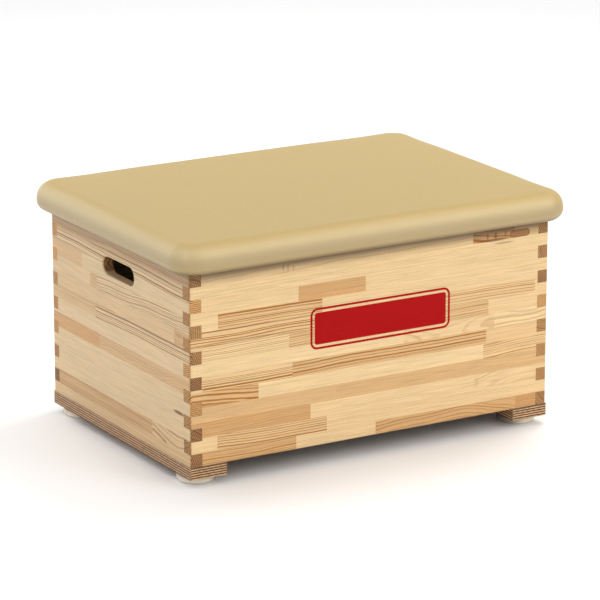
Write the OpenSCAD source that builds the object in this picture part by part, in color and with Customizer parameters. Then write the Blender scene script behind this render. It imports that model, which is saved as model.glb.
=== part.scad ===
// Small padded vaulting box. A bottomless finger-jointed pine case stands on two
// plywood skids with round glides, and carries an upholstered top.
// Millimetres. The origin is on the floor, under the middle of the case. +X runs along
// the long front, +Y to the rear and +Z up.

/* [Case] */
// Length of the case over its short ends
case_len = 770; // [640:5:900]
// Depth of the case over its long sides
case_depth = 545; // [460:5:640]
// Thickness of the pine boards, and the height of one finger
board_t = 24; // [22:1:26]
// Finger segments up a corner, counted on both boards together (odd)
segments = 15; // [13:2:17]
// Rounding of the four upright corners
corner_r = 6; // [2:1:10]

/* [Hand holes] */
// Length of a hand hole
hole_w = 120; // [100:1:140]
// Height of a hand hole
hole_h = 34; // [28:1:38]
// Drop from the top edge of the case to the middle of a hand hole
hole_drop = 58; // [56:1:80]
// Routed rounding of the hand hole's edges
hole_edge_r = 5; // [2:1:6]

/* [Skids and feet] */
// Width of a skid along the case's length
skid_w = 75; // [75:1:100]
// Thickness of a skid
skid_t = 24; // [18:1:30]
// Diameter of a foot
foot_d = 74; // [50:1:74]
// Height of a foot
foot_h = 16; // [14:1:20]
// Height of a foot's upright rim
foot_rim_h = 7; // [4:1:9]
// Distance from the case's front or rear face to the middle of a foot
foot_inset = 47; // [40:1:60]

/* [Padded top] */
// Overhang of the padded top past the case
pad_overhang = 36; // [30:1:50]
// Height of the padded top above the case
pad_h = 56; // [48:1:64]
// Corner radius of the padded top seen from above
pad_corner_r = 62; // [56:1:90]
// Radius of the roll that the padded top tucks under with
pad_lower_r = 22; // [18:1:24]
// Thickness of the cover
cover_t = 1.5; // [1:0.1:2]
// Thickness of the plywood board inside the top
lid_t = 18; // [15:1:20]

/* [Battens] */
// Width of a batten inside the case's top edge
cleat_w = 28; // [24:1:32]
// Height of a batten
cleat_h = 30; // [26:1:32]

/* [Badge] */
// Length of the plain printed badge
badge_w = 300; // [120:5:360]
// Height of the badge
badge_h = 78; // [40:2:110]
// Offset of the badge to the right of the case's middle
badge_x = 15; // [-100:5:100]
// Height of the badge's middle above the case's lower edge
badge_z = 222; // [120:2:250]

/* [Hidden] */
$fn = 64;

PINE = [0.90, 0.77, 0.56];
END_PINE = [0.86, 0.73, 0.54];
PLY = [0.55, 0.43, 0.32];
GLIDE = [0.93, 0.92, 0.88];
FOAM = [0.80, 0.80, 0.84];
COVER = [0.82, 0.72, 0.52];
BADGE = [0.75, 0.07, 0.12];
STEEL = [0.75, 0.75, 0.76];

// Levels above the floor
case_z = foot_h + skid_t;
case_h = segments * board_t;
case_top = case_z + case_h;
hole_z = case_top - hole_drop;

// Inner size of the case
inner_len = case_len - 2 * board_t;
inner_depth = case_depth - 2 * board_t;

// Middle of a foot, and the rows of skid screws
foot_x = case_len / 2 - skid_w / 2;
foot_y = case_depth / 2 - foot_inset;
skid_screw_x = case_len / 2 - board_t / 2;
skid_screw_y = 0.275 * case_depth;

// Battens: the long pair runs the whole inner length and the short pair fits between
cleat_gap = 1;
long_cleat_len = inner_len - 2 * cleat_gap;
short_cleat_len = inner_depth - 2 * cleat_w - 2 * cleat_gap;
cleat_mid_x = inner_len / 2 - cleat_w / 2;
cleat_mid_y = inner_depth / 2 - cleat_w / 2;

// Padded top
pad_upper_r = pad_h - pad_lower_r;
lid_overhang = pad_overhang - pad_lower_r - 2;
lid_corner_r = pad_corner_r - pad_overhang + lid_overhang;
pad_core_x = case_len / 2 + pad_overhang - pad_corner_r;
pad_core_y = case_depth / 2 + pad_overhang - pad_corner_r;
// The hem's inner edge and the staple row, measured inwards from the case's faces
hem_in = board_t + cleat_w + 16;
staple_in = hem_in - 7;

// Fasteners: radius of the shank, clearance round it, and lengths
screw_r = 2.5;
screw_gap = 0.1;
screw_tip = 5;
foot_sink = 4;
foot_screw_len = 30;
skid_screw_len = 60;
cleat_screw_len = 40;
lid_screw_len = 40;
lid_spots = [-0.4, 0, 0.4];
short_lid_spots = [-0.35, 0.35];
cleat_spots = [-0.22, 0.22];

// Staples
staple_w = 10;
staple_wire = 0.7;
staple_t = 1.2;
staple_leg = 6;
staple_pitch = 50;

// Badge: a solid plate inside a thin frame
badge_t = 0.4;
badge_line = 4;
badge_gap = 5;
badge_r = 14;

// ---- Outlines ----

module rounded_rect(w, d, r) {
    square([w, d - 2 * r], center = true);
    square([w - 2 * r, d], center = true);
    for (x = [-1, 1], y = [-1, 1])
        translate([x * (w / 2 - r), y * (d / 2 - r)]) circle(r);
}

module stadium(w, h) {
    square([w - h, h], center = true);
    for (x = [-1, 1])
        translate([x * (w - h) / 2, 0]) circle(h / 2);
}

// One side of the case in plan: a board's full run along the front or the left end,
// with the case's rounded corners, or its short run between the corner columns
module front_strip(full) {
    intersection() {
        rounded_rect(case_len, case_depth, corner_r);
        translate([full ? -case_len / 2 : -inner_len / 2, -case_depth / 2])
            square([full ? case_len : inner_len, board_t]);
    }
}

module left_strip(full) {
    intersection() {
        rounded_rect(case_len, case_depth, corner_r);
        translate([-case_len / 2, full ? -case_depth / 2 : -inner_depth / 2])
            square([board_t, full ? case_depth : inner_depth]);
    }
}

// ---- Fasteners ----

// A countersunk screw that points up, its head's face at z = 0
module wood_screw(len) {
    difference() {
        union() {
            cylinder(h = screw_r, r1 = 2 * screw_r, r2 = screw_r);
            cylinder(h = len - screw_tip, r = screw_r);
            translate([0, 0, len - screw_tip])
                cylinder(h = screw_tip, r1 = screw_r, r2 = 0.4);
        }
        for (a = [0, 90])
            rotate(a) translate([-screw_r, -0.6, -1]) cube([2 * screw_r, 1.2, 2.6]);
    }
}

module screw_hole(len) {
    r = screw_r + screw_gap;
    translate([0, 0, -1]) cylinder(h = 1, r = r + screw_r);
    cylinder(h = screw_r, r1 = r + screw_r, r2 = r);
    cylinder(h = len + 1, r = r);
}

module at_feet() {
    for (x = [-1, 1], y = [-1, 1])
        translate([x * foot_x, y * foot_y, 0]) children();
}

module at_foot_screws() {
    at_feet() translate([0, 0, foot_sink]) children();
}

module at_skid_screws() {
    for (x = [-1, 1], y = [-1, 0, 1])
        translate([x * skid_screw_x, y * skid_screw_y, foot_h]) children();
}

module at_lid_screws() {
    translate([0, 0, case_top - cleat_h]) {
        for (s = lid_spots, y = [-1, 1])
            translate([s * long_cleat_len, y * cleat_mid_y, 0]) children();
        for (s = short_lid_spots, x = [-1, 1])
            translate([x * cleat_mid_x, s * short_cleat_len, 0]) children();
    }
}

// Screws through the battens point outwards, into the panels
module at_cleat_screws() {
    translate([0, 0, case_top - cleat_h / 2])
        for (side = [0, 180], s = cleat_spots) rotate(side) {
            translate([s * long_cleat_len, -inner_depth / 2 + cleat_w, 0])
                rotate([90, 0, 0]) children();
            translate([-inner_len / 2 + cleat_w, s * short_cleat_len, 0])
                rotate([0, -90, 0]) children();
        }
}

// Staples along one straight run of the hem, centred on it
module staple_run(len) {
    count = floor(len / staple_pitch);
    for (i = [0 : count])
        translate([(i - count / 2) * staple_pitch, 0, 0]) children();
}

module at_staples() {
    long_run = case_len - 2 * staple_in - 60;
    short_run = case_depth - 2 * staple_in - 60;
    translate([0, 0, case_top])
        for (side = [0, 180]) rotate(side) {
            translate([0, -case_depth / 2 + staple_in, 0]) staple_run(long_run) children();
            translate([-case_len / 2 + staple_in, 0, 0])
                rotate(90) staple_run(short_run) children();
        }
}

// The crown lies under the hem and two legs go up through it
module staple_legs(gap) {
    for (x = [-1, 1])
        translate([x * (staple_w - staple_wire) / 2, 0, staple_leg / 2 + cover_t / 2])
            cube([staple_wire + gap, staple_t + gap, staple_leg + cover_t + gap],
                center = true);
}

module staple() {
    staple_legs(0);
    translate([-staple_w / 2, -staple_t / 2, -staple_wire])
        cube([staple_w, staple_t, staple_wire]);
}

// ---- Case ----

// A front board of stacked segments: every second one reaches the corners as a finger
module long_panel() {
    for (i = [0 : segments - 1])
        translate([0, 0, case_z + i * board_t])
            linear_extrude(board_t) front_strip(i % 2 == 1);
}

// Section of the routed rounding: x runs from the hole's middle line, y into the board
module hole_edge_section() {
    difference() {
        translate([0, -1]) square([hole_h / 2 + hole_edge_r, hole_edge_r + 1]);
        translate([hole_h / 2 + hole_edge_r, hole_edge_r]) circle(hole_edge_r);
    }
}

module hole_edge() {
    straight = hole_w - hole_h;
    for (turn = [0, 180]) rotate(turn) {
        translate([straight / 2, 0, 0]) rotate(-90) rotate_extrude(angle = 180)
            hole_edge_section();
        translate([-straight / 2, 0, 0]) rotate([90, 0, 90])
            linear_extrude(straight) hole_edge_section();
    }
}

// The hand hole's cutter, from the left end's outer face inwards
module hand_hole() {
    translate([-case_len / 2, 0, hole_z]) rotate([90, 0, 90]) {
        translate([0, 0, -1]) linear_extrude(board_t + 2) stadium(hole_w, hole_h);
        hole_edge();
        translate([0, 0, board_t]) mirror([0, 0, 1]) hole_edge();
    }
}

module end_panel() {
    difference() {
        for (i = [0 : segments - 1])
            translate([0, 0, case_z + i * board_t])
                linear_extrude(board_t) left_strip(i % 2 == 0);
        hand_hole();
    }
}

module front_panel() {
    color(PINE) difference() {
        long_panel();
        at_cleat_screws() screw_hole(cleat_screw_len);
    }
}

module rear_panel() {
    color(PINE) difference() {
        rotate(180) long_panel();
        at_cleat_screws() screw_hole(cleat_screw_len);
    }
}

module end_screw_holes() {
    at_cleat_screws() screw_hole(cleat_screw_len);
    at_skid_screws() screw_hole(skid_screw_len);
}

module left_end_panel() {
    color(END_PINE) difference() {
        end_panel();
        end_screw_holes();
    }
}

module right_end_panel() {
    color(END_PINE) difference() {
        rotate(180) end_panel();
        end_screw_holes();
    }
}

// ---- Skids and feet ----

module skid(x) {
    color(PLY) difference() {
        translate([x - skid_w / 2, -case_depth / 2, foot_h])
            cube([skid_w, case_depth, skid_t]);
        at_foot_screws() screw_hole(foot_screw_len);
        at_skid_screws() screw_hole(skid_screw_len);
    }
}

module left_skid() skid(-foot_x);
module right_skid() skid(foot_x);

// Half section of a foot: an upright rim over a quarter round
module foot_section() {
    r = foot_h - foot_rim_h;
    square([foot_d / 2 - r, foot_h]);
    translate([0, r]) square([foot_d / 2, foot_rim_h]);
    translate([foot_d / 2 - r, r]) circle(r);
}

module foot(x, y) {
    color(GLIDE) translate([x * foot_x, y * foot_y, 0]) difference() {
        rotate_extrude() intersection() {
            foot_section();
            square([foot_d, foot_h]);
        }
        translate([0, 0, -1]) cylinder(h = foot_sink + 1, r = 2 * screw_r + 2);
        translate([0, 0, foot_sink]) screw_hole(foot_h);
    }
}

module foot_front_left() foot(-1, -1);
module foot_front_right() foot(1, -1);
module foot_rear_left() foot(-1, 1);
module foot_rear_right() foot(1, 1);

// ---- Battens ----

module cleat(x, y, w, d) {
    color(PINE) difference() {
        translate([x - w / 2, y - d / 2, case_top - cleat_h]) cube([w, d, cleat_h]);
        at_cleat_screws() screw_hole(cleat_screw_len);
        at_lid_screws() screw_hole(lid_screw_len);
    }
}

module front_cleat() cleat(0, -cleat_mid_y, long_cleat_len, cleat_w);
module rear_cleat() cleat(0, cleat_mid_y, long_cleat_len, cleat_w);
module left_cleat() cleat(-cleat_mid_x, 0, cleat_w, short_cleat_len);
module right_cleat() cleat(cleat_mid_x, 0, cleat_w, short_cleat_len);

// ---- Padded top ----

module quarter_round(r) {
    intersection() {
        circle(r);
        square(r);
    }
}

// Section of the pad's edge, from a corner's centre outwards and from the case's top
// edge up, set in by skin on every side: a small roll below and a large one above
module pad_section(skin) {
    upper_x = pad_corner_r - pad_upper_r;
    lower_x = pad_corner_r - pad_lower_r;
    translate([upper_x, pad_lower_r]) quarter_round(pad_upper_r - skin);
    translate([0, pad_lower_r]) square([upper_x, pad_upper_r - skin]);
    translate([lower_x, pad_lower_r]) mirror([0, 1]) quarter_round(pad_lower_r - skin);
    translate([0, skin]) square([lower_x, pad_lower_r - skin]);
}

module pad_body(skin) {
    translate([0, 0, case_top]) {
        translate([-pad_core_x, -pad_core_y, skin])
            cube([2 * pad_core_x, 2 * pad_core_y, pad_h - 2 * skin]);
        for (side = [0, 180]) rotate(side) {
            translate([pad_core_x, -pad_core_y, 0]) rotate(-90)
                rotate_extrude(angle = 90) pad_section(skin);
            translate([pad_core_x, pad_core_y, 0])
                rotate_extrude(angle = 90) pad_section(skin);
            translate([pad_core_x, pad_core_y, 0]) rotate([90, 0, 0])
                linear_extrude(2 * pad_core_y) pad_section(skin);
            translate([-pad_core_x, pad_core_y, 0]) rotate([90, 0, 90])
                linear_extrude(2 * pad_core_x) pad_section(skin);
        }
    }
}

module lid_block() {
    translate([0, 0, case_top + cover_t]) linear_extrude(lid_t)
        rounded_rect(case_len + 2 * lid_overhang, case_depth + 2 * lid_overhang,
            lid_corner_r);
}

module lid_board() {
    color(PLY) difference() {
        lid_block();
        at_lid_screws() screw_hole(lid_screw_len);
        at_staples() staple_legs(0.1);
    }
}

module foam_pad() {
    color(FOAM) difference() {
        pad_body(cover_t);
        lid_block();
    }
}

// The cover wraps the foam and its hem runs in under the board
module pad_cover() {
    color(COVER) difference() {
        pad_body(0);
        pad_body(cover_t);
        translate([0, 0, case_top - 1]) linear_extrude(cover_t + 2)
            square([case_len - 2 * hem_in, case_depth - 2 * hem_in], center = true);
        at_lid_screws() screw_hole(lid_screw_len);
        at_staples() staple_legs(0.1);
    }
}

// ---- Badge ----

module badge_outline(inset) {
    rounded_rect(badge_w - 2 * inset, badge_h - 2 * inset, badge_r - inset);
}

module front_badge() {
    color(BADGE) translate([badge_x, -case_depth / 2, case_z + badge_z])
        rotate([90, 0, 0]) linear_extrude(badge_t) {
            difference() {
                badge_outline(0);
                badge_outline(badge_line);
            }
            badge_outline(badge_line + badge_gap);
        }
}

// ---- Fastener nodes ----

module foot_screws() color(STEEL) at_foot_screws() wood_screw(foot_screw_len);
module skid_screws() color(STEEL) at_skid_screws() wood_screw(skid_screw_len);
module cleat_screws() color(STEEL) at_cleat_screws() wood_screw(cleat_screw_len);
module lid_screws() color(STEEL) at_lid_screws() wood_screw(lid_screw_len);
module cover_staples() color(STEEL) at_staples() staple();

front_panel();
rear_panel();
left_end_panel();
right_end_panel();
left_skid();
right_skid();
foot_front_left();
foot_front_right();
foot_rear_left();
foot_rear_right();
front_cleat();
rear_cleat();
left_cleat();
right_cleat();
lid_board();
foam_pad();
pad_cover();
front_badge();
foot_screws();
skid_screws();
cleat_screws();
lid_screws();
cover_staples();
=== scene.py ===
"""The looks of a small padded vaulting box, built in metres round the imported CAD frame."""

import math

import bmesh
import bpy
from mathutils import Matrix, Vector


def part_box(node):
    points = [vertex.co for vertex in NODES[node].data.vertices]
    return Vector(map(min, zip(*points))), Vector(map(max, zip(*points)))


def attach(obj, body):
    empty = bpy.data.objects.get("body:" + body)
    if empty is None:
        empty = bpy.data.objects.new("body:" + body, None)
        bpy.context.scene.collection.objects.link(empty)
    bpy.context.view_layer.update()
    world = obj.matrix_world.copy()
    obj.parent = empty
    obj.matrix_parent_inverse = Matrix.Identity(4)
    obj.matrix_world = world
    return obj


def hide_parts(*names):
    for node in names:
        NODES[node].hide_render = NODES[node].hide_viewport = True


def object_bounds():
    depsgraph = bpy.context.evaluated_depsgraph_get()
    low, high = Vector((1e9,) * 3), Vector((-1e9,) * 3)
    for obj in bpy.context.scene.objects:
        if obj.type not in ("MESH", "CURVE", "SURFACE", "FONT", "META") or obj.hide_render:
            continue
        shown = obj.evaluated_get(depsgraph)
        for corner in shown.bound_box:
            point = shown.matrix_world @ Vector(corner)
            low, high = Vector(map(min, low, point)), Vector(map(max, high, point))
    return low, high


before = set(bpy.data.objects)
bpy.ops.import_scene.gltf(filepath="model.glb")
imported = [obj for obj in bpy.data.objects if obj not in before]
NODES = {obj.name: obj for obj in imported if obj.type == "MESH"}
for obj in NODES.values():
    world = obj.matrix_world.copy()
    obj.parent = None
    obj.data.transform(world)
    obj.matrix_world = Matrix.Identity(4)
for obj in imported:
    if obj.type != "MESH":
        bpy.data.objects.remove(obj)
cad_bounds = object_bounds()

MM = 0.001
CASE_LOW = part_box("left_end_panel")[0]
CASE_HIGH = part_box("right_end_panel")[1]
CASE_LENGTH = CASE_HIGH.x - CASE_LOW.x
CASE_DEPTH = CASE_HIGH.y - CASE_LOW.y
CASE_HEIGHT = CASE_HIGH.z - CASE_LOW.z
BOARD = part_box("front_panel")[1].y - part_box("front_panel")[0].y
FINGER = CASE_HEIGHT / 15
PAD_LOW, PAD_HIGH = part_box("pad_cover")
LID_LOW, LID_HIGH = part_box("lid_board")
PAD_THICKNESS = PAD_HIGH.z - PAD_LOW.z
FOOT_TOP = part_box("foot_front_left")[1].z


# ---------------------------------------------------------------- stage, camera and light

CAMERA_TURN = -30.46
CAMERA_RISE = 15.94
CAMERA_LENS = 213.6
CAMERA_DISTANCE = 6.758
CAMERA_AIM = Vector((2.9, -0.4, 3.5)) * MM
FLOOR_SIZE = 60.0
SURROUND = 0.93

# The lamps: name, bearing and height in degrees, distance and size in metres, power, colour.
LAMPS = [
    ("above", 109, 62, 3.4, 1.4, 40, (1.0, 0.99, 0.97)),
    ("behind", 184, 40, 3.4, 1.0, 24, (1.0, 1.0, 1.0)),
    ("key", 22, 28, 3.6, 1.6, 20, (1.0, 0.95, 0.86)),
]

# The strips that draw the shine on the pad's upper roll: the bearing of the side that each one
# shows on, and its power. They cover the part of the roll that faces up by so many degrees.
STRIPS = [(0, 78), (-22, 66), (-45, 76), (-67, 47), (-90, 31)]
STRIP_FACING = (16, 49)
STRIP_DISTANCE = 3.4
STRIP_WIDTH = 1.6


def direction(turn, rise):
    """The unit vector that points from the object to something seen at that bearing and height."""
    a, e = math.radians(turn), math.radians(rise)
    return Vector((math.sin(a) * math.cos(e), -math.cos(a) * math.cos(e), math.sin(e)))


def look_from(obj, place, target):
    """Puts a camera or lamp somewhere and turns it to the target."""
    obj.location = place
    obj.rotation_euler = (target - place).to_track_quat("-Z", "Y").to_euler()


def make_camera(centre):
    """The camera at the bearing and height of the view that the box is shown from."""
    data = bpy.data.cameras.new("camera")
    data.lens = CAMERA_LENS
    data.clip_end = 200
    camera = bpy.data.objects.new("camera", data)
    bpy.context.scene.collection.objects.link(camera)
    target = centre + CAMERA_AIM
    look_from(camera, target + direction(CAMERA_TURN, CAMERA_RISE) * CAMERA_DISTANCE, target)
    bpy.context.scene.camera = camera


def make_lamp(centre, name, turn, rise, distance, size, power, colour):
    """A round soft box that lights the object and doesn't show in reflections."""
    data = bpy.data.lights.new(name, "AREA")
    data.shape = "DISK"
    data.size = size
    data.energy = power
    data.color = colour
    lamp = bpy.data.objects.new(name, data)
    bpy.context.scene.collection.objects.link(lamp)
    look_from(lamp, centre + direction(turn, rise) * distance, centre)
    lamp.visible_glossy = False


def make_strip(centre, outward, power):
    """A long soft box that only shows in reflections. Its two ends lie where the camera sees them
    mirrored in the pad's upper roll, on the side with that outward bearing."""
    name = f"shine_{-outward}"
    view = direction(CAMERA_TURN, CAMERA_RISE)
    ends = []
    for rise in STRIP_FACING:
        normal = direction(outward, rise)
        ends.append((2 * normal.dot(view) * normal - view) * STRIP_DISTANCE)
    along = (ends[1] - ends[0]).normalized()
    middle = (ends[0] + ends[1]) / 2
    away = (middle - along * middle.dot(along)).normalized()
    data = bpy.data.lights.new(name, "AREA")
    data.shape = "RECTANGLE"
    data.size = (ends[1] - ends[0]).length
    data.size_y = STRIP_WIDTH
    data.energy = power
    strip = bpy.data.objects.new(name, data)
    bpy.context.scene.collection.objects.link(strip)
    strip.location = centre + middle
    strip.rotation_euler = Matrix((along, away.cross(along), away)).transposed().to_euler()
    strip.visible_diffuse = False


def make_light(centre):
    """An even white surround, the lamps, and the strips that shine along the pad's front and left
    rolls and round the corner between them."""
    world = bpy.data.worlds.new("studio")
    world.use_nodes = True
    surround = world.node_tree.nodes["Background"]
    surround.inputs["Color"].default_value = (1.0, 1.0, 1.0, 1)
    surround.inputs["Strength"].default_value = SURROUND
    bpy.context.scene.world = world
    bpy.context.scene.view_settings.view_transform = "Standard"
    for lamp in LAMPS:
        make_lamp(centre, *lamp)
    for outward, power in STRIPS:
        make_strip(centre, outward, power)


# ---------------------------------------------------------------- node recipes

class Wire:
    """A value on its way through a node tree, so that a recipe reads as arithmetic."""

    def __init__(self, paint, socket):
        self.paint = paint
        self.socket = socket

    def __add__(self, other):
        return self.paint.math("ADD", self, other)

    def __sub__(self, other):
        return self.paint.math("SUBTRACT", self, other)

    def __rsub__(self, other):
        return self.paint.math("SUBTRACT", other, self)

    def __mul__(self, other):
        return self.paint.math("MULTIPLY", self, other)

    def __truediv__(self, other):
        return self.paint.math("DIVIDE", self, other)

    __radd__ = __add__
    __rmul__ = __mul__


class Paint:
    """One material, its shader and the few node calls that the recipes need."""

    def __init__(self, name):
        self.material = bpy.data.materials.new(name)
        self.material.use_nodes = True
        self.tree = self.material.node_tree
        self.tree.nodes.clear()
        output = self.tree.nodes.new("ShaderNodeOutputMaterial")
        self.shader = self.tree.nodes.new("ShaderNodeBsdfPrincipled")
        self.tree.links.new(self.shader.outputs["BSDF"], output.inputs["Surface"])
        self.coordinates = self.tree.nodes.new("ShaderNodeTexCoord")

    def link(self, value, socket):
        if isinstance(value, Wire):
            self.tree.links.new(value.socket, socket)
        else:
            socket.default_value = value

    def node(self, kind, inputs, output=0, **settings):
        """Adds a shader node, feeds its inputs and returns one of its outputs."""
        made = self.tree.nodes.new("ShaderNode" + kind)
        for name, value in settings.items():
            setattr(made, name, value)
        for key, value in inputs.items():
            self.link(value, made.inputs[key])
        return Wire(self, made.outputs[output])

    def math(self, operation, *terms, clamp=False):
        return self.node("Math", dict(enumerate(terms)), operation=operation, use_clamp=clamp)

    def place(self):
        """The point's x, y and z in the object's frame, in metres."""
        source = Wire(self, self.coordinates.outputs["Object"])
        return [self.node("SeparateXYZ", {0: source}, output=i) for i in range(3)]

    def facing(self):
        """How far the surface faces along x, y and z, without sign."""
        source = Wire(self, self.coordinates.outputs["Normal"])
        parts = [self.node("SeparateXYZ", {0: source}, output=i) for i in range(3)]
        return [self.math("ABSOLUTE", part) for part in parts]

    def vector(self, x, y, z):
        return self.node("CombineXYZ", {0: x, 1: y, 2: z})

    def noise(self, vector, detail):
        inputs = {"Vector": vector, "Scale": 1.0, "Detail": detail, "Roughness": 0.5}
        return self.node("TexNoise", inputs)

    def swing(self, vector, detail):
        """Noise about zero, mostly from -1 to 1."""
        return (self.noise(vector, detail) - 0.5) * 3.0

    def cells(self, vector):
        """The distance to the middle of the nearest cell of a random pattern."""
        inputs = {"Vector": vector, "Scale": 1.0}
        return self.node("TexVoronoi", inputs, output="Distance", feature="F1")

    def random(self, x, y, z):
        """One even random value for each place, from 0 to 1."""
        return self.node("TexWhiteNoise", {"Vector": self.vector(x, y, z)}, output="Value")

    def rise(self, value, low, high):
        """0 below low, 1 above high and a smooth step between them."""
        inputs = {"Value": value, 1: low, 2: high}
        return self.node("MapRange", inputs, interpolation_type="SMOOTHSTEP")

    def near(self, value, centre, reach):
        """1 where value is centre, falling to 0 a reach away."""
        return 1.0 - self.rise(self.math("ABSOLUTE", value - centre), 0.0, reach)

    def mix(self, share, a, b):
        """Between numbers a and b."""
        return self.node("Mix", {0: share, 2: a, 3: b}, data_type="FLOAT")

    def blend(self, share, a, b, mode="MIX"):
        """Between colours a and b."""
        inputs = {0: share, 6: a, 7: b}
        return self.node("Mix", inputs, output=2, data_type="RGBA", blend_type=mode)

    def shade(self, colour, amount):
        """The colour times an amount that is about 1."""
        grey = self.vector(amount, amount, amount)
        return self.blend(1.0, colour, grey, mode="MULTIPLY")

    def bump(self, height, depth):
        """A normal from a height that runs from 0 to 1 over that depth, in metres."""
        inputs = {"Strength": 1.0, "Distance": depth, "Height": height}
        return self.node("Bump", inputs)

    def finish(self, colour, roughness, normal=None, **constants):
        """Sets the shader; the constants go straight on its own sockets."""
        self.link(colour, self.shader.inputs["Base Color"])
        self.link(roughness, self.shader.inputs["Roughness"])
        if normal is not None:
            self.link(normal, self.shader.inputs["Normal"])
        for name, value in constants.items():
            self.shader.inputs[name.replace("_", " ")].default_value = value
        return self.material


def rgb(red, green, blue):
    """A linear colour from its usual 0 to 255 values."""
    def linear(value):
        share = value / 255
        return share / 12.92 if share <= 0.04045 else ((share + 0.055) / 1.055) ** 2.4
    return (linear(red), linear(green), linear(blue), 1.0)


# ---------------------------------------------------------------- laminated pine

PINE_LIGHT = rgb(228, 199, 150)
PINE_GREY = rgb(214, 189, 148)
PINE_TAN = rgb(189, 134, 73)
PINE_LINE = rgb(158, 98, 12)
PINE_GREY_LINE = rgb(146, 106, 58)
PINE_END = rgb(212, 160, 98)
PINE_END_DARK = rgb(78, 34, 6)
PINE_GLUE = rgb(96, 62, 36)
PINE_KNOT = rgb(104, 58, 14)
PINE_PLUG = rgb(170, 118, 66)
# How dark the painted shade on the boards' inner faces is.
INNER_PAINTED_SHADE = 0.80
JOINT_WIDTH = 0.5 * MM
GLUE_WIDTH = 0.4 * MM
HOLE_MARGIN = 5 * MM
GRIME_HEIGHT = 10 * MM
# How fast the flutes of the hand holes and the rings of the end grain repeat, in radians a metre.
FLUTES = 2 * math.pi / (4 * MM)
END_RINGS = 2 * math.pi / (3.7 * MM)
# The painted shadow under the pad, on a long board and on an end board: how far down and how deep.
EAVES_PAINTED_SHADOW = [(28 * MM, 0.80), (46 * MM, 0.38)]

# The staves of a long board, row by row from its lower edge. Each is where it ends, in mm from
# the board's left end, then how tan it is, how strong its dark lines are and how flat it is cut.
LONG_STAVES = [
    [(220, .60, .40, .3), (390, .10, .10, .1), (700, .62, .45, .9), (770, .85, .30, .2)],
    [(55, .05, .10, .1), (285, .30, .65, .1), (770, .08, .15, .3)],
    [(250, .72, .25, .2), (605, .08, .12, .5), (770, .15, .20, .9)],
    [(305, .48, .12, .2), (770, .50, .10, .4)],
    [(141, .50, .60, .6), (626, .03, .08, .2), (770, .25, .55, .3)],
    [(25, .10, .10, .2), (212, .18, .60, .2), (632, .50, .80, .2), (770, .30, .05, .3)],
    [(450, .04, .06, .2), (650, .18, .12, .7), (770, .06, .30, .9)],
    [(205, .10, .45, .1), (636, .35, .55, .0), (770, .12, .08, .3)],
    [(490, .32, .95, .2), (740, .20, .55, .1), (770, .10, .10, .2)],
    [(58, .08, .10, .2), (275, .35, .75, .1), (770, .06, .12, .2)],
    [(225, .10, .10, .4), (367, .68, .18, .2), (770, .06, .10, .3)],
    [(183, .08, .18, .1), (770, .05, .10, .2)],
    [(600, .14, .22, .3), (692, .70, .95, .9), (770, .25, .25, .3)],
]
LONG_PITCH = 28.25 * MM
LONG_OFFSET = -3.2 * MM

# The staves of an end board in the same way, from its front edge.
END_STAVES = [
    [(465, .35, .40, .1), (545, .25, .10, .2)],
    [(145, .25, .45, .9), (545, .58, .55, .3)],
    [(545, .08, .10, .5)],
    [(300, .06, .08, .6), (545, .10, .10, .5)],
    [(545, .05, .08, .4)],
    [(350, .50, .14, .8), (545, .72, .06, .3)],
    [(545, .12, .06, .3)],
    [(365, .15, .95, .2), (545, .35, .35, .1)],
    [(58, .55, .20, .3), (545, .28, .10, .3)],
    [(358, .10, .50, .4), (385, .50, .20, .2), (545, .20, .15, .4)],
    [(418, .12, .15, .3), (545, .48, .08, .2)],
    [(545, .15, .85, .1)],
    [(545, .45, .60, .5)],
]
END_PITCH = 28.3 * MM
END_OFFSET = -6.6 * MM

# Knots and streaks of resin: where along the board and above its lower edge, half length and half
# height, in mm, and how dark.
LONG_KNOTS = [(645, 337, 40, 3.0, .75), (668, 329, 26, 2.0, .50),
              (612, 66, 3, 11, .16), (652, 62, 14, 5, .14),
              (193, 348, 2, 9, .35), (203, 346, 2, 9, .30), (214, 345, 2, 8, .25),
              (632, 344, 3, 9, .50), (650, 345, 4, 8, .60), (672, 346, 3, 7, .45),
              (165, 249, 190, 1.7, .42), (100, 226, 130, 1.5, .55)]
END_KNOTS = [(42, 93, 24, 4.0, .90), (40, 238, 16, 5, .25)]
# The patch over a filled knot, in the same way.
PLUG = (704, 343, 22.5, 7.5)


def stave_facts(paint, staves, row, along, length):
    """The tone, line strength and cut of the stave at this row and this way along it. The rows
    are laid end to end, and each stave takes over where it begins."""
    position = row * length + along
    facts = (0.0, 0.0, 0.0, 1.0)
    for index, stave_row in enumerate(staves):
        start = 0
        for end, *own in stave_row:
            reached = paint.math("GREATER_THAN", position, index * length + start * MM)
            facts = paint.blend(reached, facts, (*own, 1.0))
            start = end
    return [paint.node("SeparateColor", {0: facts}, output=i) for i in range(3)]


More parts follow.
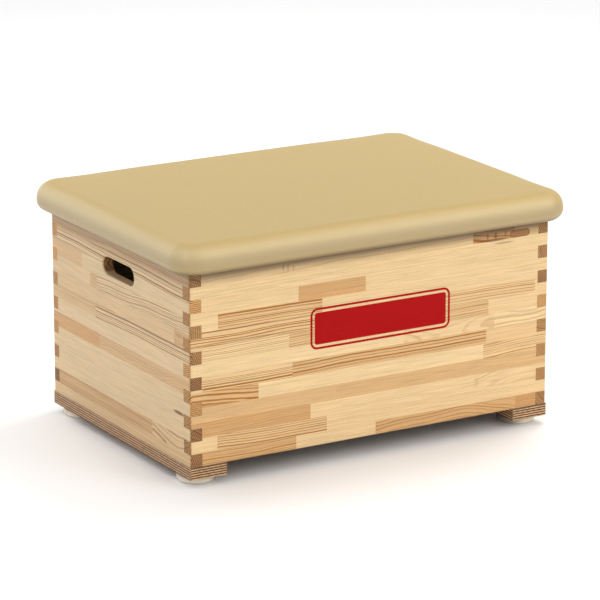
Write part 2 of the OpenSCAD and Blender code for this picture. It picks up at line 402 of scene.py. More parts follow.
def growth_rings(paint, along, across, depth, seed, lines, cut):
    """The dark late wood of the rings round a pith that lies outside the stave: 0 pale, 1 dark."""
    angle = cut * 1.35 + (seed - 0.5) * 0.5
    reach = seed * 0.07 + 0.05
    pith_across = paint.math("COSINE", angle) * reach
    pith_depth = paint.math("SINE", angle) * reach
    drift_place = paint.vector(along * 4.5, seed * 37.0, cut)
    drift = paint.swing(drift_place, 1.0) * (cut * 0.011 + 0.0018)
    wave_place = paint.vector(along * 22.0, across * 60.0 + seed * 11.0, depth * 60.0)
    wave = paint.swing(wave_place, 2.0) * 0.0008
    run_out = (seed - 0.5) * (cut * 0.20 + 0.045)
    side = across + along * run_out + pith_across
    front = depth + pith_depth
    radius = paint.math("SQRT", side * side + front * front) + drift + wave
    width = lines * 0.0032 + 0.0022
    uneven = paint.swing(paint.vector(radius * 130.0, seed * 50.0, 0.0), 1.0) * 0.9
    phase = radius / width + seed * 17.0 + uneven
    share = paint.math("FRACT", phase)
    ring = paint.math("FLOOR", phase)
    fade = paint.noise(paint.vector(along * 7.0, ring * 3.7, seed * 9.0), 1.0)
    strength = paint.random(ring, seed * 9.0, 3.0) * 0.70 + fade * 0.9 + lines * 0.60 - 0.28
    late_wood = paint.rise(share, 0.30, 0.92) * (1.0 - paint.rise(share, 0.93, 1.0))
    late_wood = late_wood * late_wood
    return paint.math("MULTIPLY", late_wood, strength, clamp=True)


def finger_lines(paint, along, height, length, own_segments):
    """The thin dark joint round each finger, at both ends of a board. own_segments is 1 for a
    board that owns the odd segments of its corners and 0 for one that owns the even ones."""
    from_end = paint.math("MINIMUM", along, length - along)
    at_end = 1.0 - paint.math("GREATER_THAN", from_end, BOARD + 0.2 * MM)
    segment = height / FINGER
    share = paint.math("FRACT", segment + 0.5) - 0.5
    side = paint.near(share * FINGER, 0.0, JOINT_WIDTH)
    is_odd = paint.math("MODULO", paint.math("FLOOR", segment) + 16.0, 2.0)
    not_own = (1.0 - is_odd) if own_segments else is_odd
    root = paint.near(from_end, BOARD, JOINT_WIDTH) * not_own
    return paint.math("MAXIMUM", side * at_end, root)


def spot(paint, along, height, knot):
    """How dark a knot makes this point of the board: its own darkness inside, 0 outside."""
    where, level, half_length, half_height, darkness = knot
    a = (along - where * MM) / (half_length * MM)
    b = (height - level * MM) / (half_height * MM)
    return (1.0 - paint.rise(paint.math("SQRT", a * a + b * b), 0.45, 1.15)) * darkness


def plug(paint, along, height):
    """The boat-shaped patch that fills a knot: how far out of its middle this point is, with 1
    on its outline. The patch has straight sides and round ends."""
    where, level, half_length, half_height = PLUG
    beyond = paint.math("ABSOLUTE", along - where * MM) - (half_length - half_height) * MM
    a = paint.math("MAXIMUM", beyond, 0.0) / (half_height * MM)
    b = (height - level * MM) / (half_height * MM)
    return paint.math("SQRT", a * a + b * b)


def filled_knot(paint, wood, along, level, rings, streak):
    """The wood with the patch let into it, which has a darker rim and its own rings."""
    out = plug(paint, along, level)
    rim = paint.near(out, 0.92, 0.22)
    filling = paint.blend(rim * 0.55 + rings * 0.4, PINE_PLUG, PINE_KNOT)
    filling = paint.shade(filling, streak * 0.3 + 1.0)
    return paint.blend(1.0 - paint.rise(out, 0.92, 1.02), wood, filling)


def end_grain(paint, along, height, depth, length, rings, mottle, pores, seed):
    """Sawn across: each finger has its own tone and its own lie of the rings, darker low down."""
    finger = paint.math("FLOOR", height / FINGER)
    far_end = paint.math("GREATER_THAN", along, length / 2)
    finger_tone = paint.random(finger, far_end + 2.0, seed)
    low_share = 1.0 - height / CASE_HEIGHT
    lie = finger_tone * 2.6
    slope = height * paint.math("COSINE", lie) + depth * paint.math("SINE", lie)
    end_rings = paint.math("SINE", slope * END_RINGS + mottle)
    tone = finger_tone * 0.46 + low_share * 0.20 + rings * 0.6 + 0.10
    tone = paint.math("ADD", tone, end_rings * 0.22, clamp=True)
    wood = paint.blend(tone, PINE_END, PINE_END_DARK)
    return paint.shade(wood, pores * 0.14 + 1.0)


def board_place(paint, grain, turn):
    """Where a point of a board lies, in metres: along its grain, up from its lower edge, in from
    its outer face, and the height at which its staves are read."""
    point = paint.place()
    away = 1 - grain
    along = (CASE_HIGH[grain] - point[grain]) if turn else (point[grain] - CASE_LOW[grain])
    height = point[2] - CASE_LOW.z
    depth = (CASE_HIGH[away] - point[away]) if turn else (point[away] - CASE_LOW[away])
    level = (CASE_HEIGHT - height) if turn else height
    return along, height, depth, level


def hole_wall_shade(paint, grain, along, depth, length, is_end):
    """How much painted shade darkens the walls of a hand hole, in stripes along the cutter's flutes
    at its ends.
    """
    from_end = paint.math("MINIMUM", along, length - along)
    is_wall = 1.0 - paint.rise(paint.facing()[1 - grain], 0.3, 0.7)
    is_wall = is_wall * paint.math("GREATER_THAN", from_end, BOARD + HOLE_MARGIN)
    flute = paint.math("SINE", along * FLUTES + depth * FLUTES * 0.4) * 0.5 + 0.5
    return is_wall * (flute * is_end * 0.5 + 0.25)


def soil_and_painted_shade(paint, wood, grain, height, depth, is_end, mottle, joints):
    """The wood darker at its joints and along its foot, with painted shade inside the case and a
    painted shadow under the pad.
    """
    # Painted shade on the inner faces of the boards.
    inner = paint.rise(depth, BOARD - 2 * MM, BOARD) * (1.0 - is_end)
    wood = paint.shade(wood, 1.0 - inner * INNER_PAINTED_SHADE)
    wood = paint.blend(joints * 0.6, wood, PINE_GLUE)
    grime = paint.near(height, 0.0, GRIME_HEIGHT) * (mottle * 0.3 + 0.7)
    wood = paint.blend(grime * 0.10, wood, PINE_GLUE)
    # The painted shadow that the pad's overhang casts on the top of the board.
    eaves_reach, eaves_shade = EAVES_PAINTED_SHADOW[grain]
    eaves = paint.near(height, CASE_HEIGHT, eaves_reach)
    return paint.shade(wood, 1.0 - eaves * eaves_shade)


def pine_board(name, staves, pitch, offset, grain, turn, seed, pale, line, knots, has_plug):
    """Finger-jointed laminated pine. Grain is 0 for a board along x and 1 for one along y.
    A turned board lies end for end and upside down, so that it shows other staves."""
    paint = Paint(name)
    length = (CASE_LENGTH, CASE_DEPTH)[grain]
    along, height, depth, level = board_place(paint, grain, turn)
    rows = (level - offset) / pitch
    row = paint.math("FLOOR", rows)
    across = (paint.math("FRACT", rows) - 0.5) * pitch
    tone, lines, cut = stave_facts(paint, staves, row, along, length)
    hazard = paint.random(row + seed, tone * 5.0 + cut, lines * 3.0)

    rings = growth_rings(paint, along, across, depth, hazard, lines, cut)
    fibre = paint.swing(paint.vector(along * 16.0, height * 520.0, depth * 520.0), 3.0)
    streak = paint.swing(paint.vector(along * 5.0, height * 230.0, hazard * 60.0), 2.0)
    mottle = paint.swing(paint.vector(along * 9.0, height * 45.0, hazard * 20.0), 2.0)
    fleck_place = paint.vector(along * 90.0, height * 2600.0, depth * 2600.0)
    flecks = paint.rise(paint.noise(fleck_place, 1.0), 0.60, 0.72)

    tan = paint.math("ADD", tone, mottle * 0.07 + streak * 0.06 + (hazard - 0.5) * 0.08, clamp=True)
    wood = paint.blend(tan, pale, PINE_TAN)
    dark = paint.math("MULTIPLY", rings, lines * 1.70 + 0.16, clamp=True)
    wood = paint.blend(dark, wood, line)
    wood = paint.shade(wood, fibre * 0.17 + mottle * 0.045 + streak * 0.13 + 0.985)
    wood = paint.blend(flecks * 0.22, wood, line)
    for knot in knots:
        wood = paint.blend(spot(paint, along, level, knot), wood, PINE_KNOT)
    if has_plug:
        wood = filled_knot(paint, wood, along, level, rings, streak)

    glue = paint.near(across, -pitch / 2, GLUE_WIDTH) + paint.near(across, pitch / 2, GLUE_WIDTH)
    wood = paint.blend(glue * 0.22, wood, line)

    pores = paint.swing(paint.vector(along * 900.0, height * 900.0, depth * 900.0), 3.0)
    end_wood = end_grain(paint, along, height, depth, length, rings, mottle, pores, seed)
    is_end = paint.rise(paint.facing()[grain], 0.45, 0.75)
    wood = paint.blend(is_end, wood, end_wood)
    # Painted shade on the walls of the hand holes.
    wood = paint.shade(wood, 1.0 - hole_wall_shade(paint, grain, along, depth, length, is_end))
    joints = finger_lines(paint, along, height, length, 1 - grain)
    wood = soil_and_painted_shade(paint, wood, grain, height, depth, is_end, mottle, joints)

    relief = rings * 0.35 + fibre * 0.16 - flecks * 0.25 - joints * 1.6 - glue * 0.3
    relief = relief + is_end * pores * 0.3
    roughness = 0.46 - rings * 0.06 + is_end * 0.2 + fibre * 0.03
    normal = paint.bump(relief, 0.10 * MM)
    return paint.finish(wood, roughness, normal, Specular_IOR_Level=0.28, Coat_Weight=0.04,
                        Coat_Roughness=0.32)


# ---------------------------------------------------------------- the other woods

BATTEN_PINE = rgb(226, 192, 140)
BATTEN_PITH = 0.33
BATTEN_RING = 3.5 * MM


def batten_pine(name, grain):
    """Sawn pine battens, with their grain along x or y."""
    paint = Paint(name)
    point = paint.place()
    along, across, depth = point[grain], point[1 - grain], point[2]
    squares = across * across + (depth - BATTEN_PITH) * (depth - BATTEN_PITH)
    drift = paint.swing(paint.vector(along * 4.0, across * 9.0, depth * 9.0), 1.0) * 0.004
    phase = (paint.math("SQRT", squares) + drift) / BATTEN_RING
    share = paint.math("FRACT", phase)
    rings = paint.rise(share, 0.3, 0.9) * (1.0 - paint.rise(share, 0.93, 1.0))
    fibre = paint.swing(paint.vector(along * 14.0, across * 700.0, depth * 700.0), 3.0)
    wood = paint.blend(rings * 0.45, BATTEN_PINE, PINE_LINE)
    wood = paint.shade(wood, fibre * 0.05 + 1.0)
    is_end = paint.rise(paint.facing()[grain], 0.45, 0.75)
    wood = paint.blend(is_end * 0.7, wood, PINE_END)
    normal = paint.bump(rings * 0.4 + fibre * 0.4, 0.15 * MM)
    return paint.finish(wood, fibre * 0.04 + 0.62, normal)


DASH = 5.0 * MM
PLY_GLUE = rgb(52, 34, 22)
# A ply's thickness, the colours of the face, of a ply seen along and of one seen across its grain,
# and the roughness.
SKID_PLYWOOD = (2.3 * MM, rgb(150, 118, 86), rgb(200, 162, 119), rgb(96, 63, 40), 0.55)
LID_PLYWOOD = (1.4 * MM, rgb(222, 188, 140), rgb(214, 178, 130), rgb(180, 142, 98), 0.6)


def plywood(name, low, high, ply, face, long_ply, cross_ply, rough):
    """Plies stacked in z from low to high: the odd ones run along y, the even ones along x. Where
    a ply shows its end grain it is broken into short dashes of varying tone."""
    paint = Paint(name)
    x, y, z = paint.place()
    stack = (z - low) / ply
    top = (high - low) / ply
    layer = paint.math("FLOOR", stack)
    share = paint.math("FRACT", stack)
    is_odd = paint.math("MODULO", layer + 40.0, 2.0)
    chance = paint.random(layer, 1.0, 4.0)
    _, face_y, face_z = paint.facing()
    on_end = paint.rise(face_y, 0.5, 0.7)
    along = paint.mix(on_end, y, x)
    runs_along = paint.mix(on_end, is_odd, 1.0 - is_odd)

    streak = paint.swing(paint.vector(along * 70.0, z * 1300.0, layer * 3.0), 3.0)
    hatch_slope = along + z * (chance * 1.6 - 0.8)
    hatch = paint.swing(paint.vector(hatch_slope * 520.0, z * 260.0, layer * 7.0), 2.0)
    grain = paint.mix(runs_along, hatch, streak)
    edge = paint.blend(runs_along, cross_ply, long_ply)
    dash = paint.random(paint.math("FLOOR", along / DASH + layer * 0.5), layer, 7.0)
    edge = paint.shade(edge, grain * 0.30 + chance * 0.16 + dash * 0.44 + 0.70)
    glue = paint.near(share, 0.0, 0.20) + paint.near(share, 1.0, 0.20)
    edge = paint.blend(glue * 0.75, edge, PLY_GLUE)
    # A painted shadow along the top ply, where it meets the part above, in the glue's colour.
    top_joint_shadow = paint.near(stack, top, 0.7)
    edge = paint.blend(top_joint_shadow * 0.8, edge, PLY_GLUE)

    ripple = paint.swing(paint.vector(x * 60.0, y * 5.0, 2.0), 2.0) * 1.4
    veneer = paint.swing(paint.vector(x * 240.0 + ripple, y * 9.0, 5.0), 3.0)
    flat = paint.shade(face, veneer * 0.07 + 1.0)
    is_face = paint.rise(face_z, 0.6, 0.8)
    wood = paint.blend(is_face, edge, flat)
    relief = grain * 0.5 - glue * 0.9
    relief = paint.mix(is_face, relief, veneer * 0.4)
    normal = paint.bump(relief, 0.12 * MM)
    return paint.finish(wood, grain * 0.04 + rough, normal, Specular_IOR_Level=0.25)


# ---------------------------------------------------------------- leather, foam, plastic, metal

LEATHER = rgb(172, 146, 82)
LEATHER_CREASE = rgb(136, 109, 52)
LEATHER_ROLL_HIGHLIGHT = rgb(186, 168, 128)
LEATHER_SHOULDER_SHEEN = rgb(188, 163, 105)
LEATHER_SIDE_SHADE = rgb(169, 148, 107)
LEATHER_UNDER_SHADE = rgb(74, 56, 32)
# Where the painted light on the leather lies: the painted highlight on the roll and the painted
# sheen on the shoulder lie so far below the pad's top, the painted shade on the side and beneath it
# so far above the pad's underside.
HIGHLIGHT_DROPS = (34 * MM, 2 * MM)
SHOULDER_DROP = 3 * MM
SHOULDER_REACH = 6 * MM
SIDE_SHADE_HEIGHTS = (27 * MM, 42 * MM)
UNDER_SHADE_HEIGHT = 15 * MM
FOAM = rgb(222, 214, 176)
FOAM_PIT = rgb(168, 154, 108)
GLIDE = rgb(220, 209, 192)
GLIDE_SCUFF = rgb(168, 156, 136)
GLIDE_SKID_REFLECTION = rgb(140, 110, 84)
GLIDE_INWARD_SHADE = rgb(66, 52, 44)
SCUFF_HEIGHT = 5 * MM
GLIDE_REFLECTION_REACH = 9 * MM
BADGE_RED = rgb(164, 8, 10)
BADGE_RUBBED = rgb(214, 140, 110)
SCREW_STEEL = (rgb(188, 186, 180), 0.34)
STAPLE_STEEL = (rgb(176, 174, 170), 0.3)
FLOOR_WHITE = (0.93, 0.93, 0.93, 1.0)


def leatherette():
    """Beige artificial leather with a fine pebble grain and a soft sheen. It has a painted
    highlight along its upper roll, a painted sheen on its shoulder, painted shade down the side and
    dark painted shade where it meets the case."""
    paint = Paint("cover_leatherette")
    x, y, z = paint.place()
    grain = paint.vector(x * 620.0, y * 620.0, z * 620.0)
    warp = paint.noise(paint.vector(x * 900.0, y * 900.0, z * 900.0), 2.0)
    pebbles = paint.cells(paint.node("VectorMath", {0: grain, 1: warp}, operation="ADD"))
    creases = paint.rise(pebbles, 0.25, 0.75)
    cloud = paint.swing(paint.vector(x * 7.0, y * 7.0, z * 7.0), 3.0)
    dust = paint.swing(paint.vector(x * 60.0, y * 60.0, z * 60.0), 3.0)
    colour = paint.blend(creases * 0.10, LEATHER, LEATHER_CREASE)
    colour = paint.shade(colour, cloud * 0.014 + dust * 0.008 + 1.0)
    # A painted highlight, paler and greyer, along the middle of the upper roll.
    fold = paint.rise(z, PAD_HIGH.z - HIGHLIGHT_DROPS[0], PAD_HIGH.z - HIGHLIGHT_DROPS[1])
    roll_highlight = (1.0 - fold) * fold * 4.0
    colour = paint.blend(roll_highlight * (cloud * 0.05 + 0.25), colour, LEATHER_ROLL_HIGHLIGHT)
    # A painted sheen, paler, along the shoulder where the top turns into the roll.
    shoulder_sheen = paint.near(z, PAD_HIGH.z - SHOULDER_DROP, SHOULDER_REACH)
    colour = paint.blend(shoulder_sheen * 0.3, colour, LEATHER_SHOULDER_SHEEN)
    # Painted shade down the pad's side.
    low = 1.0 - paint.rise(z, PAD_LOW.z + SIDE_SHADE_HEIGHTS[0], PAD_LOW.z + SIDE_SHADE_HEIGHTS[1])
    colour = paint.blend(low * 0.85, colour, LEATHER_SIDE_SHADE)
    # Painted shade on the underside, darkest where it meets the case.
    under_shade = 1.0 - paint.rise(z, PAD_LOW.z, PAD_LOW.z + UNDER_SHADE_HEIGHT)
    colour = paint.blend(under_shade * 0.85, colour, LEATHER_UNDER_SHADE)
    normal = paint.bump(1.0 - creases + dust * 0.3, 0.025 * MM)
    roughness = creases * 0.08 + cloud * 0.015 + 0.40
    return paint.finish(colour, roughness, normal, Sheen_Weight=0.03)


def foam():
    """Open-celled upholstery foam."""
    paint = Paint("pad_foam")
    x, y, z = paint.place()
    bubbles = paint.cells(paint.vector(x * 900.0, y * 900.0, z * 900.0))
    pits = 1.0 - paint.rise(bubbles, 0.15, 0.55)
    cloud = paint.swing(paint.vector(x * 20.0, y * 20.0, z * 20.0), 2.0)
    colour = paint.blend(pits * 0.5, FOAM, FOAM_PIT)
    colour = paint.shade(colour, cloud * 0.04 + 1.0)
    return paint.finish(colour, 0.9, paint.bump(1.0 - pits, 0.4 * MM))


def glide_plastic():
    """Milky glossy plastic with faint turning marks, scuffed near the floor, with a painted
    reflection of the skid near its top and painted shade on the sides that face in under the box."""
    paint = Paint("glide_plastic")
    x, y, z = paint.place()
    cloud = paint.swing(paint.vector(x * 60.0, y * 60.0, z * 60.0), 2.0)
    scuffs = paint.rise(paint.noise(paint.vector(x * 900.0, y * 140.0, z * 500.0), 3.0), 0.56, 0.70)
    low = paint.near(z, 0.0, SCUFF_HEIGHT)
    colour = paint.blend(low * scuffs * 0.5, GLIDE, GLIDE_SCUFF)
    # A painted brown reflection of the skid on the glide's top.
    skid_reflection = paint.near(z, FOOT_TOP, GLIDE_REFLECTION_REACH)
    colour = paint.blend(skid_reflection * 0.8, colour, GLIDE_SKID_REFLECTION)
    # Painted shade on the sides that face in under the box.
    side = Wire(paint, paint.coordinates.outputs["Normal"])
    inward = 0.0 - paint.node("SeparateXYZ", {0: side}) * paint.math("SIGN", x)
    colour = paint.blend(paint.rise(inward, 0.0, 0.9) * 0.75, colour, GLIDE_INWARD_SHADE)
    colour = paint.shade(colour, cloud * 0.02 + 1.0)
    rings = paint.math("SINE", z * 9000.0)
    normal = paint.bump(rings * 0.12 + scuffs * 0.3, 0.03 * MM)
    roughness = scuffs * 0.18 + cloud * 0.02 + 0.20
    return paint.finish(colour, roughness, normal, Coat_Weight=0.6, Coat_Roughness=0.08,
                        Subsurface_Weight=0.25, Subsurface_Scale=0.006)


def printed_badge():
    """A red print on the varnished wood, a little thin where the grain stands up."""
    paint = Paint("badge_print")
    x, y, z = paint.place()
    grain = paint.swing(paint.vector(x * 16.0, y * 100.0, z * 800.0), 3.0)
    rub = paint.rise(paint.noise(paint.vector(x * 70.0, 0.0, z * 700.0), 4.0), 0.62, 0.78)
    cloud = paint.swing(paint.vector(x * 20.0, 0.0, z * 20.0), 2.0)
    colour = paint.shade(BADGE_RED, grain * 0.05 + cloud * 0.03 + 1.0)
    colour = paint.blend(rub * 0.10, colour, BADGE_RUBBED)
    normal = paint.bump(grain * 0.3 - rub * 0.4, 0.05 * MM)
    return paint.finish(colour, rub * 0.15 + 0.50, normal, Specular_IOR_Level=0.06)


def metal(name, colour, roughness):
    """Zinc-plated steel with fine scratches and dull patches."""
    paint = Paint(name)
    x, y, z = paint.place()
    scratches = paint.swing(paint.vector(x * 3000.0, y * 400.0, z * 1500.0), 3.0)
    patches = paint.swing(paint.vector(x * 300.0, y * 300.0, z * 300.0), 3.0)
    tint = paint.shade(colour, patches * 0.07 + 1.0)
    normal = paint.bump(scratches, 0.02 * MM)
    return paint.finish(tint, patches * 0.06 + roughness, normal, Metallic=1.0)


def studio_floor():
    """A plain pale floor with a barely visible unevenness."""
    paint = Paint("floor_paint")
    x, y, _ = paint.place()
    cloud = paint.swing(paint.vector(x * 2.0, y * 2.0, 0.0), 2.0)
    colour = paint.shade(FLOOR_WHITE, cloud * 0.004 + 1.0)
    return paint.finish(colour, 0.7)


# ---------------------------------------------------------------- the pad

LOWER_ROLL = 21 * MM
UPPER_ROLL = 30 * MM
# How far the pad's sides lean in from upright, in degrees.
SIDE_LEAN = 8
HEM_STEPS = 8
ROLL_STEPS = 7
SIDE_STEPS = 2
PAD_CORNER = 54 * MM
HEM_REACH = 104 * MM
HEM_CORNER = 8 * MM
COVER_THICKNESS = 1.5 * MM
# How far the foam's surface lies inside the pad's outline, so that it stays under the cover.
FOAM_GAP = 4.5 * MM
BOARD_CORNER = 40 * MM
LONG_STEPS = 40
SHORT_STEPS = 30
HALF_ARC_STEPS = 10
# The form that is blown up starts this much smaller, and no point moves further than the most.
SHRINK = 0.6 * MM
MOST_SWELL = 2.2 * MM
CLOTH_FRAMES = 20
PULL_IN = 1.2 * MM
CROWN = 1.5 * MM
# The underside is pinned this far in from the edge, where it rests on the case.
PINNED_INSET = HEM_REACH * 0.35
# The pleats: how far in their middle is, how far they reach, how deep and how close they are.
PLEAT_INSET = 27 * MM
PLEAT_REACH = 24 * MM
PLEAT_DEPTH = 1.1 * MM
PLEAT_RATE = 30


def side_points(half_length, half_depth, radius, steps):
    """One side of a rounded rectangle, from the middle of one corner's arc to the next."""
    points = []
    for step in range(HALF_ARC_STEPS):
        angle = math.radians(225 + 45 * step / HALF_ARC_STEPS)
        points.append((radius * math.cos(angle) - half_length + radius,
                       radius * math.sin(angle) - half_depth + radius))
    straight = half_length - radius
    for step in range(steps + 1):
        points.append((straight * (2 * step / steps - 1), -half_depth))
    for step in range(1, HALF_ARC_STEPS + 1):
        angle = math.radians(270 + 45 * step / HALF_ARC_STEPS)
        points.append((radius * math.cos(angle) + half_length - radius,
                       radius * math.sin(angle) - half_depth + radius))
    return points


def outline_sides(half_x, half_y, radius):
    """The four sides of a rounded rectangle, anticlockwise from the front; ends are shared."""
    front = side_points(half_x, half_y, radius, LONG_STEPS)
    right = side_points(half_y, half_x, radius, SHORT_STEPS)
    return [
        front,
        [(-b, a) for a, b in right],
        [(-a, -b) for a, b in front],
        [(b, -a) for a, b in right],
    ]


def patch(sides):
    """A grid of points whose edge is these four sides, as rows from front to back."""
    front, right, back, left = sides
    back, left = back[::-1], left[::-1]
    across, deep = len(front) - 1, len(right) - 1
    rows = []
    for j in range(deep + 1):
        v = j / deep
        row = []
        for i in range(across + 1):
            u = i / across
            point = []
            for axis in (0, 1):
                edges = (1 - v) * front[i][axis] + v * back[i][axis]
                edges += (1 - u) * left[j][axis] + u * right[j][axis]
                corners = (1 - u) * (1 - v) * front[0][axis] + u * (1 - v) * front[-1][axis]
                corners += (1 - u) * v * back[0][axis] + u * v * back[-1][axis]
                point.append(edges - corners)
            row.append(tuple(point))
        rows.append(row)
    return rows


def arc(middle, radius, start, end, steps):
    """Points on an arc, as (inset, height) pairs; angles are in degrees from the inset axis."""
    points = []
    for step in range(steps + 1):
        angle = math.radians(start + (end - start) * step / steps)
        points.append((middle[0] + radius * math.cos(angle), middle[1] + radius * math.sin(angle)))
    return points


def roll_profile(gap=0.0):
    """The pad's section from the hem to the edge of its top, as (inset, height) pairs: a flat
    underside, a tighter lower roll, a side that leans in, and an upper roll. A gap sets the whole
    section that far inside itself."""
    lean = math.radians(SIDE_LEAN)
    rise = PAD_THICKNESS - UPPER_ROLL * (1 - math.sin(lean)) - LOWER_ROLL * (1 + math.sin(lean))
    side_inset = LOWER_ROLL * (1 - math.cos(lean)) + rise * math.tan(lean)
    upper_middle = side_inset + UPPER_ROLL * math.cos(lean)
    hem = [(HEM_REACH + (LOWER_ROLL - HEM_REACH) * i / HEM_STEPS, gap) for i in range(HEM_STEPS)]
    side_turn = 180 - SIDE_LEAN
    lower = arc((LOWER_ROLL, LOWER_ROLL), LOWER_ROLL - gap, 270, side_turn, ROLL_STEPS)
    upper_centre = (upper_middle, PAD_THICKNESS - UPPER_ROLL)
    upper = arc(upper_centre, UPPER_ROLL - gap, side_turn, 90, ROLL_STEPS)
    foot, head = lower[-1], upper[0]
    side = []
    for step in range(1, SIDE_STEPS):
        share = step / SIDE_STEPS
        side.append(tuple(foot[i] + (head[i] - foot[i]) * share for i in (0, 1)))
    return hem + lower + side + upper


def ring_at(inset, shrink):
    """The pad's outline this far in from its edge, as four sides."""
    radius = max(PAD_CORNER - inset, HEM_CORNER)
    return outline_sides(PAD_HIGH.x - inset - shrink, PAD_HIGH.y - inset - shrink, radius)


class Shell:
    """Vertices and faces of a closed form made of stacked rings and edge-to-edge patches."""

    def __init__(self):
        self.points = []
        self.faces = []

    def ring(self, sides, height):
        """Adds a closed ring of points at this height and returns their numbers."""
        first = len(self.points)
        for side in sides:
            self.points.extend((x, y, height) for x, y in side[:-1])
        return list(range(first, len(self.points)))

    def band(self, lower, upper):
        """Joins two rings of the same number of points with faces."""
        for i in range(len(lower)):
            j = (i + 1) % len(lower)
            self.faces.append((lower[i], lower[j], upper[j], upper[i]))

    def cap(self, sides, height, edge, up=True):
        """Fills a ring with a patch that shares the ring's own points."""
        rows = patch(sides)
        deep, across = len(rows) - 1, len(rows[0]) - 1
        on_edge = {}
        for i in range(across + 1):
            on_edge[(i, 0)] = edge[i % len(edge)]
            on_edge[(across - i, deep)] = edge[(across + deep + i) % len(edge)]
        for j in range(deep + 1):
            on_edge[(across, j)] = edge[(across + j) % len(edge)]
            on_edge[(0, deep - j)] = edge[(2 * across + deep + j) % len(edge)]
        index = dict(on_edge)
        for j in range(1, deep):
            for i in range(1, across):
                index[(i, j)] = len(self.points)
                self.points.append((*rows[j][i], height))
        for j in range(deep):
            for i in range(across):
                face = (index[(i, j)], index[(i + 1, j)], index[(i + 1, j + 1)], index[(i, j + 1)])
                self.faces.append(face if up else face[::-1])

    def make(self, name):
        """The form as a smooth object in the scene."""
        mesh = bpy.data.meshes.new(name)
        mesh.from_pydata(self.points, [], self.faces)
        mesh.validate()
        obj = bpy.data.objects.new(name, mesh)
        bpy.context.scene.collection.objects.link(obj)
        for polygon in mesh.polygons:
            polygon.use_smooth = True
        return obj


def apply_modifiers(obj):
    """Replaces the mesh with what its modifiers make of it."""
    graph = bpy.context.evaluated_depsgraph_get()
    made = bpy.data.meshes.new_from_object(obj.evaluated_get(graph))
    obj.modifiers.clear()
    obj.data = made


def swell(obj, pinned, most):
    """Blows the closed form up as cloth over foam; no point moves further than most."""
    rest = [vertex.co.copy() for vertex in obj.data.vertices]
    group = obj.vertex_groups.new(name="pinned")
    group.add(pinned, 1.0, "REPLACE")
    cloth = obj.modifiers.new("cloth", "CLOTH")
    cloth.settings.quality = 5
    cloth.settings.mass = 0.4
    cloth.settings.tension_stiffness = 30
    cloth.settings.compression_stiffness = 30
    cloth.settings.shear_stiffness = 10
    cloth.settings.bending_stiffness = 4
    cloth.settings.use_pressure = True
    cloth.settings.uniform_pressure_force = 4.0
    cloth.settings.vertex_group_mass = "pinned"
    cloth.settings.effector_weights.gravity = 0
    cloth.collision_settings.use_collision = False
    cloth.collision_settings.use_self_collision = False
    scene = bpy.context.scene
    for number in range(1, CLOTH_FRAMES + 1):
        scene.frame_set(number)
    apply_modifiers(obj)
    scene.frame_set(1)
    for vertex, start in zip(obj.data.vertices, rest):
        move = vertex.co - start
        if move.length > most:
            vertex.co = start + move * (most / move.length)


def pull_sides_in(obj):
    """The sides lean in a little between the corners, and the top rises to a low crown."""
    for vertex in obj.data.vertices:
        x_share = abs(vertex.co.x) / PAD_HIGH.x
        y_share = abs(vertex.co.y) / PAD_HIGH.y
        above = max(0.0, (vertex.co.z - PAD_LOW.z) / PAD_THICKNESS)
        lean = PULL_IN * math.sqrt(above)
        vertex.co.x *= 1 - lean / PAD_HIGH.x * (1 - y_share ** 2) * x_share ** 4
        vertex.co.y *= 1 - lean / PAD_HIGH.y * (1 - x_share ** 2) * y_share ** 4
        rise = (1 - x_share ** 2) * (1 - y_share ** 2)
        vertex.co.z += CROWN * rise * above ** 6


def gather_corners(obj):
    """Small pleats under each corner, where the cover is drawn in and stapled."""
    for vertex in obj.data.vertices:
        centre = Vector((math.copysign(PAD_HIGH.x - PAD_CORNER, vertex.co.x),
                         math.copysign(PAD_HIGH.y - PAD_CORNER, vertex.co.y)))
        away = Vector((vertex.co.x, vertex.co.y)) - centre
        outside = away.x * centre.x > 0 and away.y * centre.y > 0
        low = vertex.co.z < PAD_LOW.z + LOWER_ROLL * 0.6
        if not outside or not low:
            continue
        angle = math.atan2(abs(away.y), abs(away.x))
        inset = PAD_CORNER - away.length
        reach = max(0.0, 1 - abs(inset - PLEAT_INSET) / PLEAT_REACH)
        window = math.sin(2 * angle) ** 2
        vertex.co.z += PLEAT_DEPTH * reach * window * math.sin(angle * PLEAT_RATE)


def cover_form(shrink):
    """The closed form to blow up, made a little small, and the number of the first of the faces
    that close it inside its hem."""
    shell = Shell()
    squeeze = 1 - shrink / PAD_THICKNESS
    profile = roll_profile()
    rings = []
    for inset, height in profile:
        rings.append(shell.ring(ring_at(inset, shrink), PAD_LOW.z + height * squeeze))
    for lower, upper in zip(rings, rings[1:]):
        shell.band(lower, upper)
    top_inset, top_height = profile[-1]
    shell.cap(ring_at(top_inset, shrink), PAD_LOW.z + top_height * squeeze, rings[-1])
    closing_from = len(shell.faces)
    shell.cap(ring_at(HEM_REACH, shrink), PAD_LOW.z, rings[0], up=False)
    return shell.make("padded_cover"), closing_from


def pinned_points(cover):
    """The points of the underside that rest on the case."""
    inner_x, inner_y = PAD_HIGH.x - PINNED_INSET, PAD_HIGH.y - PINNED_INSET
    return [v.index for v in cover.data.vertices if v.co.z < PAD_LOW.z + 0.1 * MM
            and abs(v.co.x) < inner_x and abs(v.co.y) < inner_y]


def open_hem(cover, closing_from):
    """Takes away the faces that closed the form inside its hem."""
    form = bmesh.new()
    form.from_mesh(cover.data)
    form.faces.ensure_lookup_table()
    bmesh.ops.delete(form, geom=form.faces[closing_from:], context="FACES")
    form.to_mesh(cover.data)
    form.free()


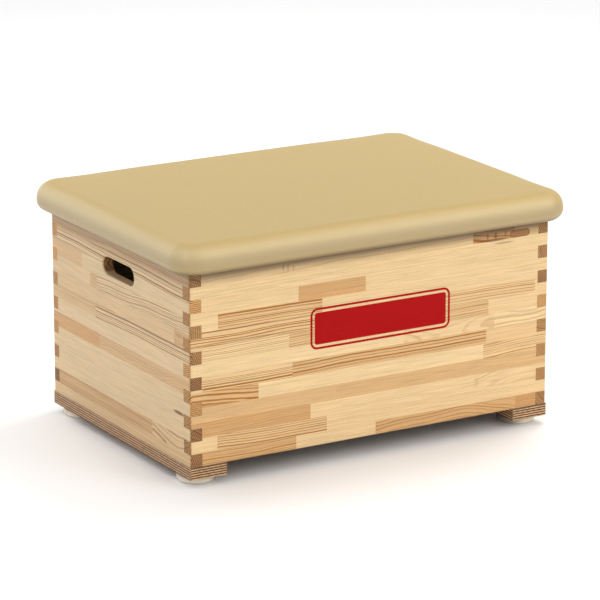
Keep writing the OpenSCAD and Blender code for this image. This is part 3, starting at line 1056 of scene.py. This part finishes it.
def make_cover():
    """The leather skin: swollen as cloth, pleated under its corners and open inside its hem."""
    cover, closing_from = cover_form(SHRINK)
    swell(cover, pinned_points(cover), MOST_SWELL)
    pull_sides_in(cover)
    open_hem(cover, closing_from)
    smooth = cover.modifiers.new("smooth", "SUBSURF")
    smooth.levels = smooth.render_levels = 1
    apply_modifiers(cover)
    gather_corners(cover)
    skin = cover.modifiers.new("skin", "SOLIDIFY")
    skin.thickness = COVER_THICKNESS
    skin.offset = -1
    apply_modifiers(cover)
    return cover


def make_foam():
    """The foam inside the cover, with the space for the lid board in its underside."""
    shell = Shell()
    profile = roll_profile(FOAM_GAP)[HEM_STEPS:]
    rings = [shell.ring(ring_at(inset, 0.0), PAD_LOW.z + height) for inset, height in profile]
    for lower, upper in zip(rings, rings[1:]):
        shell.band(lower, upper)
    shell.cap(ring_at(profile[-1][0], 0.0), PAD_HIGH.z - FOAM_GAP, rings[-1])
    board = outline_sides(LID_HIGH.x, LID_HIGH.y, BOARD_CORNER)
    low_edge = shell.ring(board, PAD_LOW.z + FOAM_GAP)
    high_edge = shell.ring(board, LID_HIGH.z)
    shell.band(low_edge, rings[0])
    shell.band(high_edge, low_edge)
    shell.cap(board, LID_HIGH.z, high_edge, up=False)
    return shell.make("shaped_foam")


# ---------------------------------------------------------------- CAD nodes

def ease_edges(obj, width, angle=35):
    """Rounds the sharp edges of a CAD node by a small width, with clean shading."""
    weld = obj.modifiers.new("weld", "WELD")
    weld.merge_threshold = 0.01 * MM
    flatten = obj.modifiers.new("flatten", "DECIMATE")
    flatten.decimate_type = "DISSOLVE"
    flatten.angle_limit = math.radians(0.5)
    bevel = obj.modifiers.new("ease", "BEVEL")
    bevel.width = width
    bevel.segments = 2
    bevel.limit_method = "ANGLE"
    bevel.angle_limit = math.radians(angle)
    bevel.harden_normals = False
    shade = obj.modifiers.new("shade", "WEIGHTED_NORMAL")
    shade.keep_sharp = True


def wear(name, material):
    """Gives a CAD node this material alone."""
    obj = NODES[name]
    obj.data.materials.clear()
    obj.data.materials.append(material)
    return obj


def make_floor():
    """The plain floor, which is not attached to the box."""
    bpy.ops.mesh.primitive_plane_add(size=FLOOR_SIZE)
    floor = bpy.context.object
    floor.name = "studio_floor"
    floor.data.materials.append(studio_floor())


def dress_case():
    """The pine boards, the battens, the skids and the lid board."""
    long_board = (LONG_STAVES, LONG_PITCH, LONG_OFFSET, 0)
    end_board = (END_STAVES, END_PITCH, END_OFFSET, 1)
    light = (PINE_LIGHT, PINE_LINE)
    grey = (PINE_GREY, PINE_GREY_LINE)
    boards = {
        "front_panel": (*long_board, False, 1.0, *light, LONG_KNOTS, True),
        "rear_panel": (*long_board, True, 23.0, *light, LONG_KNOTS[2:4], False),
        "left_end_panel": (*end_board, False, 41.0, *grey, END_KNOTS, False),
        "right_end_panel": (*end_board, True, 67.0, *grey, END_KNOTS[1:], False),
    }
    for name, facts in boards.items():
        ease_edges(wear(name, pine_board("pine_" + name, *facts)), 0.5 * MM)
    battens = (("front_cleat", 0), ("rear_cleat", 0), ("left_cleat", 1), ("right_cleat", 1))
    for name, grain in battens:
        ease_edges(wear(name, batten_pine("batten_" + name, grain)), 1.0 * MM)
    skid_low, skid_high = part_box("left_skid")
    skid = plywood("skid_plywood", skid_low.z, skid_high.z, *SKID_PLYWOOD)
    for name in ("left_skid", "right_skid"):
        ease_edges(wear(name, skid), 1.5 * MM)
    lid = plywood("lid_plywood", LID_LOW.z, LID_HIGH.z, *LID_PLYWOOD)
    ease_edges(wear("lid_board", lid), 0.8 * MM)


def dress_fittings():
    """The feet, the screws, the staples and the badge."""
    plastic = glide_plastic()
    for name in sorted(NODES):
        if name.startswith("foot_") and name != "foot_screws":
            ease_edges(wear(name, plastic), 0.6 * MM)
    steel = metal("screw_steel", *SCREW_STEEL)
    for name in ("foot_screws", "skid_screws", "cleat_screws", "lid_screws"):
        ease_edges(wear(name, steel), 0.15 * MM, angle=50)
    ease_edges(wear("cover_staples", metal("staple_steel", *STAPLE_STEEL)), 0.1 * MM)
    ease_edges(wear("front_badge", printed_badge()), 0.08 * MM)


def dress_pad():
    """The cover and the foam, which stand for their CAD nodes."""
    cover = make_cover()
    cover.data.materials.append(leatherette())
    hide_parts("pad_cover")
    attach(cover, "root")
    filling = make_foam()
    filling.data.materials.append(foam())
    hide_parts("foam_pad")
    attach(filling, "root")


centre = (cad_bounds[0] + cad_bounds[1]) / 2
make_camera(centre)
make_light(centre)
make_floor()
dress_case()
dress_fittings()
dress_pad()
